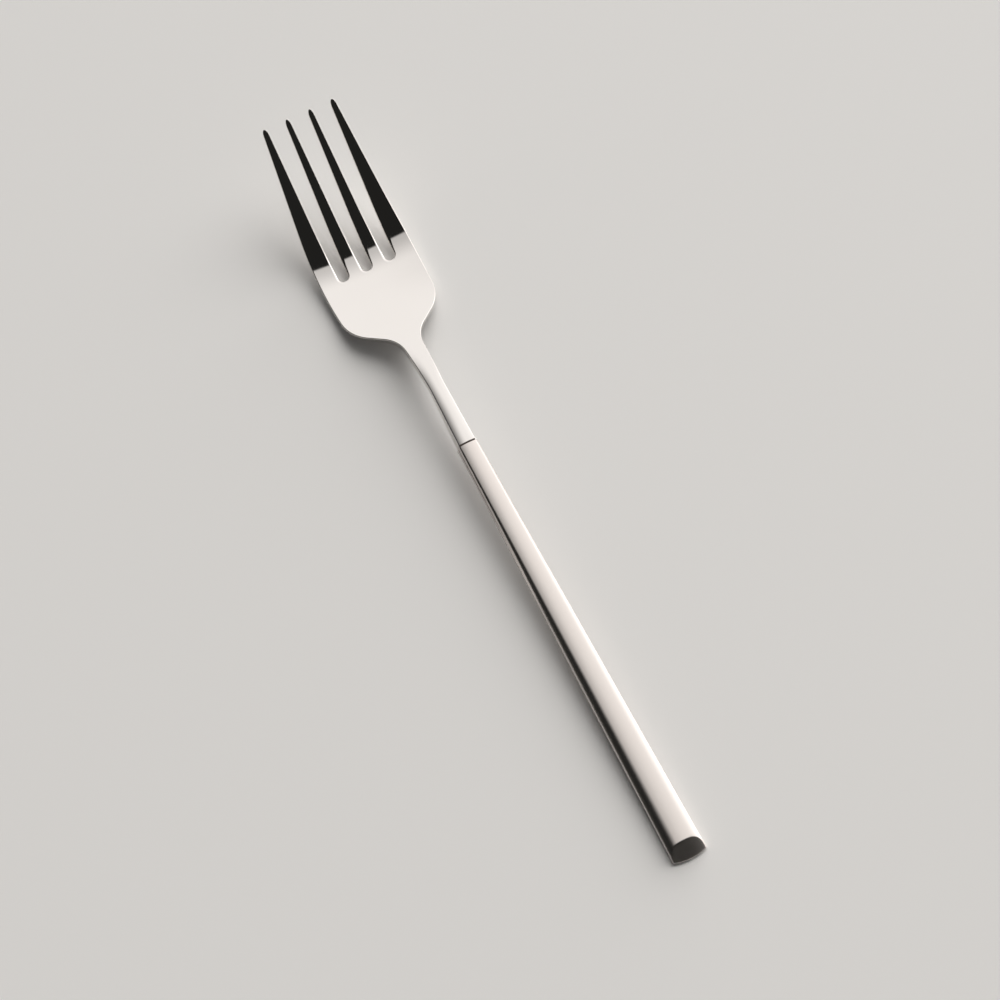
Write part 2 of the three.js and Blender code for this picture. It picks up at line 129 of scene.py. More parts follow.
# Fineness of the meshes
FILLET_STEPS = 24
NOSE_STEPS = 24
SLOT_STEPS = 28
OUTLINE_STEP = 0.5
TOP_STEP = 0.6
BOTTOM_STEP = 1.1
TOP_EDGE_RINGS = 10
BOTTOM_EDGE_RINGS = 4
WALL_STEPS = 4
PLATE_EDGE_STEPS = 5
CORNER_STEPS = 10
CROWN_STEPS = 16
HANDLE_STEPS = 60
CAP_STEP = 0.4
CAP_EDGE_STEPS = 5
END_STEPS = 32
END_ROUNDS = 40  # of the search for where the arch meets the slanted end
SEAM_STEPS = 24
SLOPE_STEP = 0.01
MERGE_DISTANCE = 1e-7
SHARP_ANGLE = math.radians(20)

# Places along the fork, counted from the butt edge
JOINT_Y = HANDLE_LENGTH
WAIST_Y = JOINT_Y + WAIST_FROM_JOINT
CREST_Y = JOINT_Y + CREST_FROM_JOINT
NECK_CORNER_Y = JOINT_Y + NECK_LENGTH
BOWL_REAR_Y = NECK_CORNER_Y + SHOULDER_LENGTH
BOWL_FRONT_Y = BOWL_REAR_Y + BOWL_SIDE_LENGTH
TIP_Y = BOWL_FRONT_Y + TINE_SIDE_LENGTH
HEEL_Y = JOINT_Y + HEEL_FROM_JOINT
SLOT_RADIUS = SLOT_WIDTH / 2
SLOT_BOTTOM_Y = TIP_Y - TINE_LENGTH
SLOT_CENTRE_Y = SLOT_BOTTOM_Y + SLOT_RADIUS
NOSE_Y = TIP_Y - NOSE_LENGTH
END_LEAN = (END_SETBACK - BASE_LEDGE) / (BUTT_HEIGHT - BASE_THICKNESS)

# Photograph: how the fork lies on the table, and the camera above it
FORK_TURN = math.radians(27.41)
CAMERA_ELEVATION = math.radians(70)
CAMERA_DISTANCE = 630
AIM_RIGHT = 2.47
AIM_AWAY = -2.17
PIVOT_Y = 90.647  # the point that the fork was turned about, counted from the butt edge
FIELD_OF_VIEW = math.radians(19.28)
CLIP_START = 10


# Formulas of the head

def smoothstep(value, low, high):
    share = np.clip((value - low) / (high - low), 0, 1)
    return share * share * (3 - 2 * share)


def rounded_line(corners, radii):
    """Straight-sided line with each inner corner rounded to its own radius."""
    corners = [np.array(corner, float) for corner in corners]
    points = [corners[0]]
    for before, at, after, radius in zip(corners, corners[1:], corners[2:], radii):
        back = (before - at) / np.linalg.norm(before - at)
        ahead = (after - at) / np.linalg.norm(after - at)
        half_angle = math.acos(back @ ahead) / 2
        middle = (back + ahead) / np.linalg.norm(back + ahead)
        centre = at + middle * radius / math.sin(half_angle)
        start = at + back * radius / math.tan(half_angle) - centre
        end = at + ahead * radius / math.tan(half_angle) - centre
        sweep = math.atan2(start[0] * end[1] - start[1] * end[0], start @ end)
        for k in range(FILLET_STEPS + 1):
            turn = sweep * k / FILLET_STEPS
            cos, sin = math.cos(turn), math.sin(turn)
            points.append(centre + (start[0] * cos - start[1] * sin, start[0] * sin + start[1] * cos))
    points.append(corners[-1])
    return np.array(points)


HEAD_OUTLINE = rounded_line(
    [
        (JOINT_TOP_WIDTH / 2, JOINT_Y),
        (WAIST_WIDTH / 2, WAIST_Y),
        (NECK_CORNER_WIDTH / 2, NECK_CORNER_Y),
        (BOWL_REAR_WIDTH / 2, BOWL_REAR_Y),
        (BOWL_FRONT_WIDTH / 2, BOWL_FRONT_Y),
        ((OUTER_TIP_SPACING + OUTER_NOSE_WIDTH) / 2, NOSE_Y),
    ],
    [WAIST_RADIUS, NECK_RADIUS, BOWL_REAR_RADIUS, BOWL_FRONT_RADIUS],
)


def base_height(y):
    """Underside of the handle: on the table at the butt, rising to the joint."""
    return (JOINT_TOP_HEIGHT - JOINT_DEPTH) * y / HANDLE_LENGTH


def face_height(y):
    """Upper face of the head along its middle."""
    share = (y - JOINT_Y) / CREST_FROM_JOINT
    rise = CREST_HEIGHT - JOINT_TOP_HEIGHT
    run = (JOINT_TOP_HEIGHT - BUTT_HEIGHT) / HANDLE_LENGTH * CREST_FROM_JOINT
    neck = JOINT_TOP_HEIGHT + run * share + (3 * rise - 2 * run) * share**2 + (run - 2 * rise) * share**3
    fall = CREST_HEIGHT - (CREST_HEIGHT - BOWL_THICKNESS) * smoothstep(y, CREST_Y, HEEL_Y)
    reach = np.maximum(y - HEEL_Y, 0)
    arc_reach = HEEL_RADIUS * math.sin(TINE_ANGLE)
    on_arc = np.minimum(reach, arc_reach)
    arc = HEEL_RADIUS - np.sqrt(HEEL_RADIUS**2 - on_arc**2)
    rising = BOWL_THICKNESS + arc + (reach - on_arc) * math.tan(TINE_ANGLE)
    return np.where(y < CREST_Y, neck, np.where(y < HEEL_Y, fall, rising))


def face_slope(y):
    return (face_height(y + SLOPE_STEP) - face_height(y - SLOPE_STEP)) / (2 * SLOPE_STEP)


def dished(x, y):
    """Share of the bowl's dish at a point: none along the middle, at the neck and at the tips."""
    share = smoothstep(y, NECK_CORNER_Y, HEEL_Y) * np.clip((TIP_Y - y) / (TIP_Y - HEEL_Y), 0, 1)
    return share * (2 * x / BOWL_FRONT_WIDTH) ** 2


def thickness(x, y):
    places = [JOINT_Y, WAIST_Y, HEEL_Y, TIP_Y]
    middle = np.interp(y, places, [JOINT_DEPTH, NECK_THICKNESS, BOWL_THICKNESS, TIP_THICKNESS])
    across = middle - (BOWL_THICKNESS - RIM_THICKNESS) * dished(x, y)
    slope = np.where(y < CREST_Y, 0, face_slope(y))
    return across * np.sqrt(1 + slope**2)


def crowned(x, y):
    """Drop of the neck's crowned top from its middle line; it fades out before the bowl."""
    share = 1 - smoothstep(y, WAIST_Y, NECK_CORNER_Y)
    return share * x**2 / (2 * JOINT_CROWN_RADIUS)


def top_height(x, y):
    return face_height(y) + BOWL_DISH * dished(x, y) - crowned(x, y)


def bottom_height(x, y):
    return face_height(y) + BOWL_DISH * dished(x, y) - thickness(x, y)


def upward_normal(height, x, y):
    """Unit normals of a height field, pointing up."""
    slope_x = (height(x + SLOPE_STEP, y) - height(x - SLOPE_STEP, y)) / (2 * SLOPE_STEP)
    slope_y = (height(x, y + SLOPE_STEP) - height(x, y - SLOPE_STEP)) / (2 * SLOPE_STEP)
    return unit(np.stack([-slope_x, -slope_y, np.ones_like(x)], -1))


def unit(vectors):
    return vectors / np.linalg.norm(vectors, axis=-1, keepdims=True)


# Mesh helpers

def in_frame(points):
    """Points in millimetres from the butt edge, as metres in the part's frame."""
    return (np.asarray(points, float) - (0, TIP_Y / 2, 0)) * MM


def make_piece(name, points, faces, material, replaced, normals=None):
    mesh = bpy.data.meshes.new(name)
    mesh.from_pydata(in_frame(points).tolist(), [], [list(map(int, face)) for face in faces])
    mesh.validate()
    mesh.polygons.foreach_set("use_smooth", [True] * len(mesh.polygons))
    if normals is None:
        mesh.set_sharp_from_angle(angle=SHARP_ANGLE)
    else:
        mesh.normals_split_custom_set_from_vertices(normals.tolist())
    piece = bpy.data.objects.new(name, mesh)
    bpy.context.scene.collection.objects.link(piece)
    mesh.materials.append(material)
    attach(piece, "root")
    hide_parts(replaced)
    return piece


def grid_faces(rows, columns, start=0, closed=False):
    """Quads of a grid of points stored row by row; closed joins the last column to the first."""
    faces = []
    for row in range(rows - 1):
        for column in range(columns if closed else columns - 1):
            here = start + row * columns + column
            beside = start + row * columns + (column + 1) % columns
            faces.append((here, beside, beside + columns, here + columns))
    return faces


def sampled(start, end, step):
    """Points of a straight stretch, without its last one."""
    start, end = np.array(start, float), np.array(end, float)
    count = max(1, math.ceil(np.linalg.norm(end - start) / step))
    return [start + (end - start) * k / count for k in range(count)]


# Head

def head_outline():
    """Closed outline of the head seen from above, anticlockwise from its rear right corner."""
    right = list(HEAD_OUTLINE)
    points = []
    for start, end in zip(right, right[1:]):
        points += sampled(start, end, OUTLINE_STEP)
    tips = np.array([OUTER_TIP_SPACING, INNER_TIP_SPACING, -INNER_TIP_SPACING, -OUTER_TIP_SPACING]) / 2
    noses = np.array([OUTER_NOSE_WIDTH, INNER_NOSE_WIDTH, INNER_NOSE_WIDTH, OUTER_NOSE_WIDTH]) / 2
    slots = [SLOT_PITCH, 0, -SLOT_PITCH]
    for i, (tip, nose) in enumerate(zip(tips, noses)):
        for k in range(NOSE_STEPS):
            angle = math.pi * k / NOSE_STEPS
            points.append(np.array((tip + nose * math.cos(angle), NOSE_Y + NOSE_LENGTH * math.sin(angle))))
        if i < len(slots):
            right_end = (slots[i] + SLOT_RADIUS, SLOT_CENTRE_Y)
            left_end = (slots[i] - SLOT_RADIUS, SLOT_CENTRE_Y)
            points += sampled((tip - nose, NOSE_Y), right_end, OUTLINE_STEP)
            for k in range(SLOT_STEPS):
                angle = math.pi * k / SLOT_STEPS
                points.append(np.array((
                    slots[i] + SLOT_RADIUS * math.cos(angle),
                    SLOT_CENTRE_Y - SLOT_RADIUS * math.sin(angle),
                )))
            points += sampled(left_end, (tips[i + 1] + noses[i + 1], NOSE_Y), OUTLINE_STEP)
    left = [point * (-1, 1) for point in reversed(right)]
    for start, end in zip(left, left[1:]):
        points += sampled(start, end, OUTLINE_STEP)
    points += sampled(left[-1], right[0], OUTLINE_STEP)
    return np.array(points)


def edge_width(x, y):
    """Width of the rounded upper edge at points on the outline: softest at the roots of the tines."""
    outer_root = (SLOT_PITCH + BOWL_FRONT_WIDTH / 2) / 2
    outer_tine = np.interp(y, [SLOT_CENTRE_Y, NOSE_Y], [outer_root, OUTER_TIP_SPACING / 2])
    in_slot = (np.abs(x) < outer_tine) & (y > SLOT_BOTTOM_Y - SLOPE_STEP)
    along = y - SLOT_BOTTOM_Y
    left_share = 1 - smoothstep(along, 0, SLOT_EDGE_REACH)
    past_peak = smoothstep(along, SLOT_EDGE_PEAK, SLOT_EDGE_REACH)
    right_share = smoothstep(along, 0, SLOT_EDGE_PEAK) * (1 - past_peak)
    from_slot = x - SLOT_PITCH * np.round(x / SLOT_PITCH)
    slot_share = left_share + (right_share - left_share) * smoothstep(from_slot, -SLOT_RADIUS, SLOT_RADIUS)
    narrow = np.interp(y, [BOWL_FRONT_Y, NOSE_Y], [EDGE_WIDTH, TIP_EDGE_WIDTH])
    return narrow + np.where(in_slot, slot_share, 0) * (SLOT_EDGE_WIDTH - narrow)


def outward(points):
    """Outward directions of a closed anticlockwise outline, and how far its corners stretch an offset."""
    before = unit(points - np.roll(points, 1, 0))
    after = unit(np.roll(points, -1, 0) - points)
    normal_before = np.stack([before[:, 1], -before[:, 0]], -1)
    normal_after = np.stack([after[:, 1], -after[:, 0]], -1)
    middle = unit(normal_before + normal_after)
    stretch = 1 / np.sum(middle * normal_before, -1)
    return middle, stretch


def inside(points, loop):
    """Which points lie inside a closed loop."""
    result = np.zeros(len(points), bool)
    for (x0, y0), (x1, y1) in zip(loop, np.roll(loop, -1, 0)):
        crosses = (y0 > points[:, 1]) != (y1 > points[:, 1])
        if crosses.any():
            at = x0 + (points[crosses, 1] - y0) * (x1 - x0) / (y1 - y0)
            result[crosses] ^= points[crosses, 0] < at
    return result


def fill_loop(loop, step):
    """Triangles inside a loop over a grid of extra points; returns the extra points and the triangles."""
    low, high = loop.min(0), loop.max(0)
    columns = np.linspace(low[0], high[0], math.ceil((high[0] - low[0]) / step) + 1)
    rows = np.linspace(low[1], high[1], math.ceil((high[1] - low[1]) / step) + 1)
    grid = np.stack(np.meshgrid(columns, rows), -1).reshape(-1, 2)
    grid = grid[inside(grid, loop)]
    clear = np.array([np.min(np.sum((loop - point) ** 2, -1)) > (step / 2) ** 2 for point in grid])
    grid = grid[clear]
    everything = np.vstack([loop, grid])
    border = [(k, (k + 1) % len(loop)) for k in range(len(loop))]
    result = delaunay_2d_cdt([Vector(point) for point in everything], border, [], 0, MERGE_DISTANCE, True)
    found, sources = result[2:4]
    origin = np.array([source[0] for source in sources])
    triangles = origin[np.array(found)]
    middles = everything[triangles].mean(1)
    return grid, triangles[inside(middles, loop)]


class HeadMesh:
    """Collects the head's points, normals and faces."""

    def __init__(self):
        self.points = []
        self.normals = []
        self.faces = []

    def add(self, points, normals):
        start = len(self.points)
        self.points += np.asarray(points, float).tolist()
        self.normals += np.asarray(normals, float).tolist()
        return start

    def add_block(self, sections):
        """Closed bar through sections of four points each."""
        corners = np.array(sections, float)
        centre = corners.reshape(-1, 3).mean(0)
        start = self.add(corners.reshape(-1, 3), unit(corners.reshape(-1, 3) - centre))
        count = len(sections[0])
        self.faces += grid_faces(len(sections), count, start, closed=True)
        last = start + (len(sections) - 1) * count
        self.faces += [tuple(range(start + count - 1, start - 1, -1)), tuple(range(last, last + count))]


def side_flare(y):
    return (JOINT_BASE_WIDTH - JOINT_TOP_WIDTH) / 2 * np.clip((WAIST_Y - y) / WAIST_FROM_JOINT, 0, 1)


def lift(plan, height):
    return np.column_stack([plan, height])


def head_sheet(mesh):
    """Tines, bowl and neck: both faces, rounded edges and walls over one outline."""
    outline = head_outline()
    direction, stretch = outward(outline)
    x, y = outline.T
    rear = y < JOINT_Y + SLOPE_STEP
    width = np.where(rear, SMALLEST_RADIUS, edge_width(x, y))
    drop = np.where(rear, SMALLEST_RADIUS, np.minimum(EDGE_DROP, EDGE_STEEPNESS * width))
    bottom_radius = np.minimum(width, BOTTOM_EDGE_RADIUS)
    flare = np.where(rear & (np.abs(x) < x[0] - SLOPE_STEP), 0, side_flare(y))
    low_outline = outline + np.stack([np.sign(x) * flare, np.zeros_like(x)], -1)
    wall_height = thickness(x, y)
    wall_normal = unit(np.column_stack([direction * wall_height[:, None], flare]))

    starts = []
    for angle in np.linspace(math.pi / 2, 0, TOP_EDGE_RINGS):
        plan = outline - direction * (stretch * width * (1 - math.cos(angle)))[:, None]
        height = top_height(*plan.T) - drop * (1 - math.sin(angle))
        face = upward_normal(top_height, *plan.T)
        to_side = (drop * math.cos(angle))[:, None]
        to_top = (width * math.sin(angle))[:, None]
        normals = unit(to_side * wall_normal + to_top * face)
        starts.append(mesh.add(lift(plan, height), normals))
    top_loop = np.array(mesh.points[starts[0]:starts[0] + len(outline)])[:, :2]
    for angle in np.linspace(0, math.pi / 2, BOTTOM_EDGE_RINGS):
        plan = low_outline - direction * (stretch * bottom_radius * (1 - math.cos(angle)))[:, None]
        height = bottom_height(*plan.T) + bottom_radius * (1 - math.sin(angle))
        face = -upward_normal(bottom_height, *plan.T)
        normals = unit(math.cos(angle) * wall_normal + math.sin(angle) * face)
        starts.append(mesh.add(lift(plan, height), normals))
    bottom_loop = np.array(mesh.points[starts[-1]:starts[-1] + len(outline)])[:, :2]
    rings = grid_faces(len(starts), len(outline), starts[0], closed=True)
    mesh.faces += [tuple(reversed(face)) for face in rings]

    for loop, first, step, height, sign in (
        (top_loop, starts[0], TOP_STEP, top_height, 1),
        (bottom_loop, starts[-1], BOTTOM_STEP, bottom_height, -1),
    ):
        grid, triangles = fill_loop(loop, step)
        start = mesh.add(lift(grid, height(*grid.T)), sign * upward_normal(height, *grid.T))
        count = len(loop)
        for triangle in triangles:
            corners = [first + k if k < count else start + k - count for k in triangle]
            mesh.faces.append(corners if sign > 0 else corners[::-1])


def head_tang(mesh):
    """Tang inside the handle."""
    half = TANG_WIDTH / 2
    floor = TANG_HEIGHT - TANG_THICKNESS / 2
    ends = (JOINT_Y - TANG_LENGTH, JOINT_Y)
    mesh.add_block([section(y, half, half, floor, floor + TANG_THICKNESS) for y in ends])


def section(y, low_half, high_half, low, high):
    """Four corners of an upright section of the handle, anticlockwise seen from the butt."""
    base = base_height(y)
    return [
        (-low_half, y, base + low),
        (low_half, y, base + low),
        (high_half, y, base + high),
        (-high_half, y, base + high),
    ]


def make_head(material):
    mesh = HeadMesh()
    head_sheet(mesh)
    head_tang(mesh)
    normals = np.array(mesh.normals)
    return make_piece(
        "fork_head_fine", mesh.points, mesh.faces, material, "fork_head", normals
    )


# Handle

def arch_half(base_width, top_width, height, corner_radius, crown_radius, inset):
    """Right half of an arch, moved inwards: side, rounded corner, then the crown up to its middle."""
    lean = math.atan((base_width - top_width) / (2 * height))
    side = base_width / 2 * math.cos(lean) - inset
    corner = max(corner_radius - inset, SMALLEST_RADIUS)
    crown = crown_radius - inset
    crown_centre = np.array((0, height - crown_radius))
    turn = math.asin((side - corner - crown_centre[1] * math.sin(lean)) / (crown - corner)) - lean
    corner_centre = crown_centre + (crown - corner) * np.array((math.sin(turn), math.cos(turn)))

    def on_circle(centre, radius, angles):
        return centre + radius * np.stack([np.sin(angles), np.cos(angles)], -1)

    round_corner = on_circle(corner_centre, corner, np.linspace(math.pi / 2 - lean, turn, CORNER_STEPS + 1))
    top = on_circle(crown_centre, crown, np.linspace(turn, 0, CROWN_STEPS + 1))
    foot = np.array(((side - BASE_THICKNESS * math.sin(lean)) / math.cos(lean), BASE_THICKNESS))
    wall = foot + (round_corner[0] - foot) * np.linspace(0, 1, WALL_STEPS + 1)[:-1, None]
    return np.vstack([wall, round_corner[:-1], top])


def arch_lines(inset):
    """Matching points of the handle's arch at the butt and at the joint, from right foot to left foot."""
    ends = (
        (BUTT_WIDTH, BUTT_WIDTH, BUTT_HEIGHT, BUTT_CORNER_RADIUS, BUTT_CROWN_RADIUS),
        (JOINT_BASE_WIDTH, JOINT_TOP_WIDTH, JOINT_DEPTH, JOINT_CORNER_RADIUS, JOINT_CROWN_RADIUS),
    )
    halves = [arch_half(*end, inset) for end in ends]
    return [np.vstack([half, half[-2::-1] * (-1, 1)]) for half in halves]


def arch_points(butt, joint, y):
    """Points of the arch, one on each of its lines, at the given places along the fork."""
    share = (y / HANDLE_LENGTH)[:, None]
    flat = butt + (joint - butt) * share
    return np.column_stack([flat[:, 0], y, base_height(y) + flat[:, 1]])


def arch_normals(butt, joint, y):
    """Softened shading normals of the arch at the given places along the fork."""
    here = arch_points(butt, joint, y)
    along = arch_points(butt, joint, y + SLOPE_STEP) - here
    across = np.gradient(here, axis=0)
    steep = unit(np.cross(along, across))
    flatness = BUTT_FLATNESS + (JOINT_FLATNESS - BUTT_FLATNESS) * y / HANDLE_LENGTH
    tilt = math.tan(SIDE_TILT) * (1 - smoothstep(y, *SIDE_TILT_FADE))
    tilted = steep[:, 2] + flatness * tilt * (1 - steep[:, 2])
    return unit(np.column_stack([flatness * steep[:, 0], flatness * steep[:, 1], tilted]))


def end_place(x, z, forward):
    """Where the slanted, bowed end of the arch lies, moved forward by the given distance."""
    bow = END_RADIUS - np.sqrt(END_RADIUS**2 - x**2)
    return BASE_LEDGE + forward + bow + END_LEAN * (z - BASE_THICKNESS)


def end_normals(x):
    """Outward normals of the slanted, bowed end."""
    bow_slope = x / np.sqrt(END_RADIUS**2 - x**2)
    return unit(np.column_stack([bow_slope, np.full_like(x, -1), np.full_like(x, END_LEAN)]))


def end_of_lines(butt, joint, forward):
    """Where each line of the arch meets the slanted end, moved forward by the given distance."""
    y = np.full(len(butt), float(END_SETBACK))
    for _ in range(END_ROUNDS):
        x, z = arch_points(butt, joint, y)[:, [0, 2]].T
        y = (y + end_place(x, z, forward)) / 2
    return y


def make_shell(material):
    """Satin arch of sheet, from the slanted end to the joint."""
    grids = []
    shades = []
    for inset, facing in ((0, 1), (SHELL_THICKNESS, -1)):
        butt, joint = arch_lines(inset)
        start = end_of_lines(butt, joint, CAP_THICKNESS)
        places = [start + (JOINT_Y - start) * k / HANDLE_STEPS for k in range(HANDLE_STEPS + 1)]
        grids.append(np.array([arch_points(butt, joint, y) for y in places]))
        shades.append(np.array([facing * arch_normals(butt, joint, y) for y in places]))
    around = np.concatenate([grids[0], grids[1][:, ::-1]], 1)
    normals = np.concatenate([shades[0], shades[1][:, ::-1]], 1).reshape(-1, 3)
    rows, columns, _ = around.shape
    points = around.reshape(-1, 3)
    faces = [tuple(reversed(face)) for face in grid_faces(rows, columns, closed=True)]
    half = columns // 2
    last = (rows - 1) * columns
    for k in range(half - 1):
        rung = (k, k + 1, columns - 2 - k, columns - 1 - k)
        faces.append(rung)
        faces.append(tuple(last + corner for corner in reversed(rung)))
    return make_piece(
        "handle_shell_fine", points, faces, material, "handle_top_shell", normals
    )


def cap_face(points, faces, border, forward, flip):
    """One face of the end plate inside a border of numbered points."""
    loop = np.array([points[k] for k in border])[:, [0, 2]]
    grid, triangles = fill_loop(loop, CAP_STEP)
    start = len(points)
    x, z = grid.T
    points += np.column_stack([x, end_place(x, z, forward), z]).tolist()
    for triangle in triangles:
        corners = [border[k] if k < len(border) else start + k - len(border) for k in triangle]
        faces.append(corners[::-1] if flip else corners)


def make_cap(material):
    """Slanted end plate: the facet with its rounded upper edge, the rim, and the hidden inner face."""
    butt, joint = arch_lines(0)
    count = len(butt)
    places = [end_of_lines(butt, joint, forward) for forward in (END_EDGE_REACH, 0, CAP_THICKNESS)]
    rim, corner, inner = [arch_points(butt, joint, y) for y in places]
    rim_normals, _, inner_normals = [arch_normals(butt, joint, y) for y in places]
    middle = np.array((0, 0, BASE_THICKNESS))
    inward = unit((middle - corner)[:, [0, 2]])
    inward[[0, -1], 1] = 0
    facet_x, facet_z = (corner[:, [0, 2]] + unit(inward) * END_EDGE_REACH / 2).T
    facet = np.column_stack([facet_x, end_place(facet_x, facet_z, 0), facet_z])

    rows = [inner, rim]
    shades = [inner_normals, rim_normals]
    for share in np.linspace(0, 1, CAP_EDGE_STEPS + 1)[1:]:
        rows.append((1 - share) ** 2 * rim + 2 * share * (1 - share) * corner + share**2 * facet)
        shades.append(unit((1 - share) * rim_normals + share * end_normals(facet_x)))
    points = np.concatenate(rows).tolist()
    faces = grid_faces(len(rows), count)
    last = (len(rows) - 1) * count

    feet = [np.linspace(row[-1], row[0], END_STEPS + 1)[1:-1, 0] for row in (facet, inner)]
    borders = []
    for first, x, forward in ((last, feet[0], 0), (0, feet[1], CAP_THICKNESS)):
        start = len(points)
        y = end_place(x, BASE_THICKNESS, forward)
        points += np.column_stack([x, y, np.full_like(x, points[first][2])]).tolist()
        borders.append(list(range(first, first + count)) + list(range(start, start + len(x))))
    cap_face(points, faces, borders[0], 0, False)
    cap_face(points, faces, borders[1], CAP_THICKNESS, True)

    fronts = [last + count - 1] + borders[0][count:] + [last]
    backs = [count - 1] + borders[1][count:] + [0]
    faces += [(a, b, d, c) for a, b, c, d in zip(fronts, fronts[1:], backs, backs[1:])]
    faces.append([row * count for row in range(len(rows))])
    faces.append([row * count + count - 1 for row in reversed(range(len(rows)))])

    x, y, z = np.array(points).T
    facing = np.where(y - end_place(x, z, 0) < CAP_THICKNESS / 2, 1, -1)
    normals = facing[:, None] * end_normals(x)
    normals[:len(rows) * count] = np.concatenate(shades)
    return make_piece("handle_cap_fine", points, faces, material, "handle_end_cap", normals)


def make_base(material):
    """Flat strip under the arch with the butt's bowed edge; it stands out as a narrow ledge."""
    butt_half = BUTT_WIDTH / 2 + BASE_LEDGE
    joint_half = JOINT_BASE_WIDTH / 2 + BASE_LEDGE
    turns = np.linspace(0, math.pi / 2, PLATE_EDGE_STEPS + 1)
    under = BOTTOM_EDGE_RADIUS * np.stack([1 - np.cos(turns), 1 - np.sin(turns)], -1)
    ledge = LEDGE_EDGE_RADIUS * np.stack([np.sin(turns) - 1, 1 - np.cos(turns)], -1) + (BASE_THICKNESS, 0)
    rings = []
    for height, inset in np.vstack([under, ledge]):
        x = np.linspace(-butt_half, butt_half, END_STEPS + 1)
        rear_y = end_place(x, BASE_THICKNESS, inset - BASE_LEDGE)
        rear = np.stack([x * (butt_half - inset) / butt_half, rear_y], -1)
        side = np.linspace(0, 1, HANDLE_STEPS + 1)[1:, None]
        right = rear[-1] + (np.array((joint_half - inset, JOINT_Y)) - rear[-1]) * side
        left = right[::-1] * (-1, 1)
        plan = np.vstack([rear, right, left])
        rings.append(np.column_stack([plan, base_height(np.maximum(plan[:, 1], 0)) + height]))
    around = np.array(rings)
    rows, columns, _ = around.shape
    points = around.reshape(-1, 3)
    faces = grid_faces(rows, columns, closed=True)
    last = (rows - 1) * columns
    faces.append(tuple(reversed(range(columns))))
    faces.append(tuple(range(last, last + columns)))
    return make_piece("handle_base_fine", points, faces, material, "handle_base_plate")


def make_bead(material):
    """Dark line across the top of the joint, rounded over the neck's edges."""
    reach = JOINT_TOP_WIDTH / 2 - EDGE_WIDTH * (1 - math.cos(math.pi / 4))
    x = np.linspace(-reach, reach, SEAM_STEPS + 1)
    past = np.clip((np.abs(x) - JOINT_TOP_WIDTH / 2 + EDGE_WIDTH) / EDGE_WIDTH, 0, 1)
    rounding = EDGE_DROP * (1 - np.sqrt(1 - past**2))
    rows = []
    for y in (JOINT_Y, JOINT_Y + SEAM_WIDTH):
        top = top_height(x, np.full_like(x, y)) - rounding + SEAM_RISE
        upper = np.column_stack([x, np.full_like(x, y), top])
        lower = upper - (0, 0, SEAM_DEPTH)
        rows.append(np.vstack([lower, upper[::-1]]))
    count = len(rows[0])
    faces = [tuple(reversed(face)) for face in grid_faces(2, count, closed=True)]
    faces += [tuple(range(count)), tuple(range(2 * count - 1, count - 1, -1))]
    return make_piece("seam_bead_fine", np.concatenate(rows), faces, material, "seam_bead")


# Materials

RAMP_INPUTS = ("From Min", "From Max", "To Min", "To Max")
NOISE_MIDDLE = (0.3, 0.7)  # range that most of a noise lies in

# Noises: scale, stretch along each axis, detail
HAZE = (60, (1, 0.4, 1), 4)
HAIRLINES = (900, (1, 0.08, 1), 2)
CLOUD = (90, (1, 0.3, 1), 3)
GRAIN = (6000, (1, 0.12, 1), 2)
TURNED_RINGS = (2500, (0.1, 1, 0.1), 2)
CEMENT_GRAIN = (700, (1, 1, 1), 4)
JOINT_LINE_GRAIN = (3000, (1, 1, 1), 4)

# Darkest and lightest tone of each finish
POLISHED_TONES = ((0.80, 0.77, 0.745), (0.83, 0.80, 0.78))
SATIN_TONES = ((0.70, 0.65, 0.62), (0.73, 0.68, 0.65))
FERRULE_TONES = ((0.55, 0.54, 0.53), (0.64, 0.63, 0.62))
CEMENT_TONES = ((0.44, 0.41, 0.35), (0.55, 0.52, 0.46))
# the next tones are for the dark line across the top of the joint
JOINT_LINE_TONES = ((0.03, 0.018, 0.013), (0.06, 0.038, 0.028))

# Smoothest and roughest value of each finish
POLISHED_ROUGHNESS = (0.03, 0.06)
SATIN_ROUGHNESS = (0.2, 0.24)
FERRULE_ROUGHNESS = (0.3, 0.42)
CEMENT_ROUGHNESS = (0.77, 0.93)
JOINT_LINE_ROUGHNESS = (0.52, 0.68)

# Bumps: strength, and height in metres
HAIRLINE_BUMP = (0.02, 0.00001)
GRAIN_BUMP = (0.03, 0.00001)
MATT_BUMP = (0.3, 0.00003)


def new_material(name):
    material = bpy.data.materials.new(name)
    material.use_nodes = True
    return material, material.node_tree, material.node_tree.nodes["Principled BSDF"]


def stretched_noise(tree, scale, stretch, detail):
    """Noise in the part's own space, stretched by a factor along each axis."""
    place = tree.nodes.new("ShaderNodeTexCoord")
    mapping = tree.nodes.new("ShaderNodeMapping")
    noise = tree.nodes.new("ShaderNodeTexNoise")
    mapping.inputs["Scale"].default_value = stretch
    noise.inputs["Scale"].default_value = scale
    noise.inputs["Detail"].default_value = detail
    tree.links.new(place.outputs["Object"], mapping.inputs["Vector"])
    tree.links.new(mapping.outputs["Vector"], noise.inputs["Vector"])
    return noise.outputs["Fac"]


def spread(tree, source, low, high):
    """A noise's middle range spread between two values."""
    ramp = tree.nodes.new("ShaderNodeMapRange")
    for name, value in zip(RAMP_INPUTS, (*NOISE_MIDDLE, low, high)):
        ramp.inputs[name].default_value = value
    tree.links.new(source, ramp.inputs["Value"])
    return ramp.outputs["Result"]


def tint(tree, source, dark, light):
    """Colour between two tones, led by a noise."""
    mix = tree.nodes.new("ShaderNodeMix")
    mix.data_type = "RGBA"
    mix.inputs["A"].default_value = (*dark, 1)
    mix.inputs["B"].default_value = (*light, 1)
    tree.links.new(source, mix.inputs["Factor"])
    return mix.outputs["Result"]


